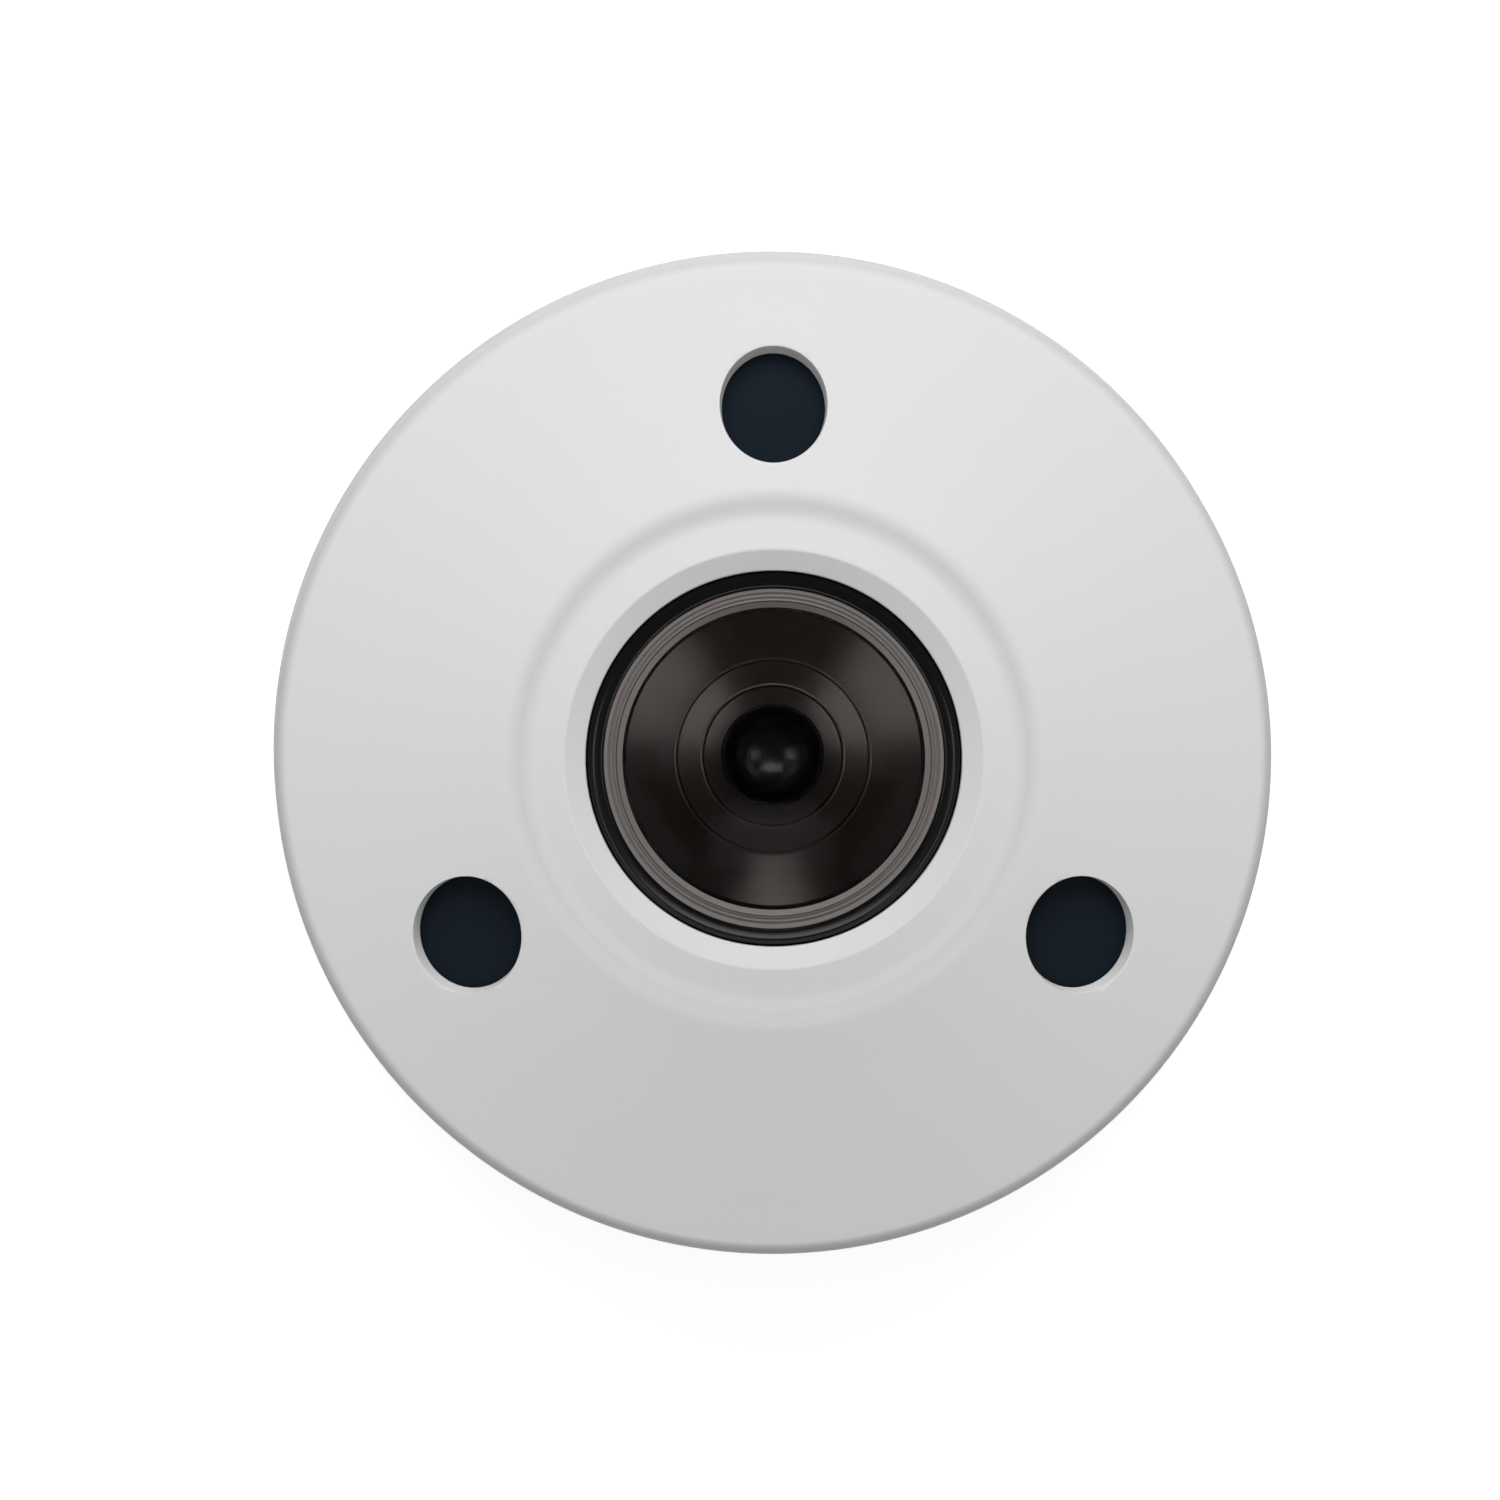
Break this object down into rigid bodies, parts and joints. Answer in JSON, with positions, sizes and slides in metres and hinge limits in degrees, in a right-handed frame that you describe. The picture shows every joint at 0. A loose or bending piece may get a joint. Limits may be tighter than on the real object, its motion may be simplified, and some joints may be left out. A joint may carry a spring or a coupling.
{
  "type": "fisheye ip camera",
  "caption": "Shallow round ceiling camera with one wide fisheye lens, infrared windows round it, a twist-off mounting plate and a connector bay behind",
  "frame": {"origin": "centre of the mounting plate's back face, which lies on the ceiling", "axes": "+Z out of the ceiling along the lens axis, +Y towards the window at the top of the picture, +X to the right in the picture"},
  "size_m": [0.1198, 0.1198, 0.0412],
  "materials": {
    "plate_plastic": "fine-grained off-white moulding",
    "cast_housing": "dark grey coated casting",
    "steel": "bright zinc plating",
    "cover_white": "smooth satin white paint",
    "seal_rubber": "soft matt black",
    "ir_window": "infrared-passing dark sheet",
    "board": "green solder mask over tracks",
    "diode": "clear dome on a pale package",
    "bright_cup": "metallised reflector",
    "lens_glass": "coated optical glass",
    "dark_glass": "coated lens element in the dark barrel",
    "ring_metal": "turned grey-brown ring with fine ridges",
    "barrel_black": "gloss black anodised",
    "baffle_black": "satin black",
    "black_plastic": "moulded black",
    "carriage_plastic": "dark filled plastic",
    "ir_cut_glass": "blue-green filter coating",
    "copper_coil": "lacquered winding",
    "chip_black": "moulded chip body",
    "ribbon": "flexible amber film",
    "ivory_plastic": "pale connector plastic",
    "heat_pad": "soft grey-blue pad",
    "transformer": "taped winding between ferrite plates",
    "can_metal": "bright drawn can",
    "contact_gold": "gold-plated spring contact",
    "jack_shell": "folded tin-plated shell",
    "terminal_green": "green connector plastic"
  },
  "bodies": {
    "base": {"mounting_plate": "plate_plastic"},
    "camera": {"rear_housing": "cast_housing", "bayonet_studs": "steel", "front_cover": "cover_white", "cover_seal": "seal_rubber", "cover_screws": "steel", "ir_window_top": "ir_window", "ir_window_left": "ir_window", "ir_window_right": "ir_window", "window_seals": "seal_rubber", "ir_board": "board", "ir_diodes": "diode", "diode_cups": "bright_cup", "ir_board_screws": "steel", "board_header": "black_plastic", "front_glass": "lens_glass", "glass_ring": "ring_metal", "glass_seal": "seal_rubber", "lens_barrel": "barrel_black", "lens_baffle": "baffle_black", "second_lens": "dark_glass", "third_lens": "lens_glass", "rear_lens": "lens_glass", "lens_spacer": "baffle_black", "aperture_stop": "baffle_black", "rear_ring": "baffle_black", "lens_seal": "seal_rubber", "lens_holder": "black_plastic", "holder_screws": "steel", "lever_pin": "steel", "switch_coil": "copper_coil", "sensor_board": "board", "image_sensor": "chip_black", "sensor_glass": "ir_cut_glass", "sensor_screws": "steel", "sensor_ribbon": "ribbon", "ribbon_sockets": "ivory_plastic", "main_board": "board", "main_screws": "steel", "processor": "chip_black", "heat_pad": "heat_pad", "memory_chips": "chip_black", "power_transformer": "transformer", "capacitors": "can_metal", "backup_battery": "can_metal", "battery_clip": "contact_gold", "network_jack": "jack_shell", "jack_contacts": "contact_gold", "power_jack": "black_plastic", "power_pin": "steel", "terminal_block": "terminal_green", "terminal_screws": "steel", "card_socket": "jack_shell", "reset_switch": "chip_black"},
    "filter_slider": {"filter_carriage": "carriage_plastic", "ir_cut_filter": "ir_cut_glass", "clear_filter": "lens_glass"},
    "filter_arm": {"filter_lever": "carriage_plastic"},
    "card": {"memory_card": "black_plastic"},
    "reset": {"reset_button": "black_plastic"}
  },
  "joints": [
    {"name": "camera_twist", "type": "hinge", "parent": "base", "child": "camera", "pos_m": [0, 0, 0.004], "axis": [0, 0, 1], "range_deg": [0, 20]},
    {"name": "filter_slide", "type": "slide", "parent": "camera", "child": "filter_slider", "axis": [1, 0, 0], "range_m": [0, 0.0074]},
    {"name": "filter_swing", "type": "hinge", "parent": "camera", "child": "filter_arm", "pos_m": [0, 0.01236, 0.0138], "axis": [0, 0, 1], "range_deg": [0, 60]},
    {"name": "card_slide", "type": "slide", "parent": "camera", "child": "card", "axis": [0, -1, 0], "range_m": [0, 0.014]},
    {"name": "reset_press", "type": "slide", "parent": "camera", "child": "reset", "axis": [0, 0, 1], "range_m": [0, 0.00025], "stiffness_N_per_m": 800}
  ],
  "couplings": [
    {"joint": "filter_swing", "follows": "filter_slide", "rad_per_m": 141.5}
  ]
}
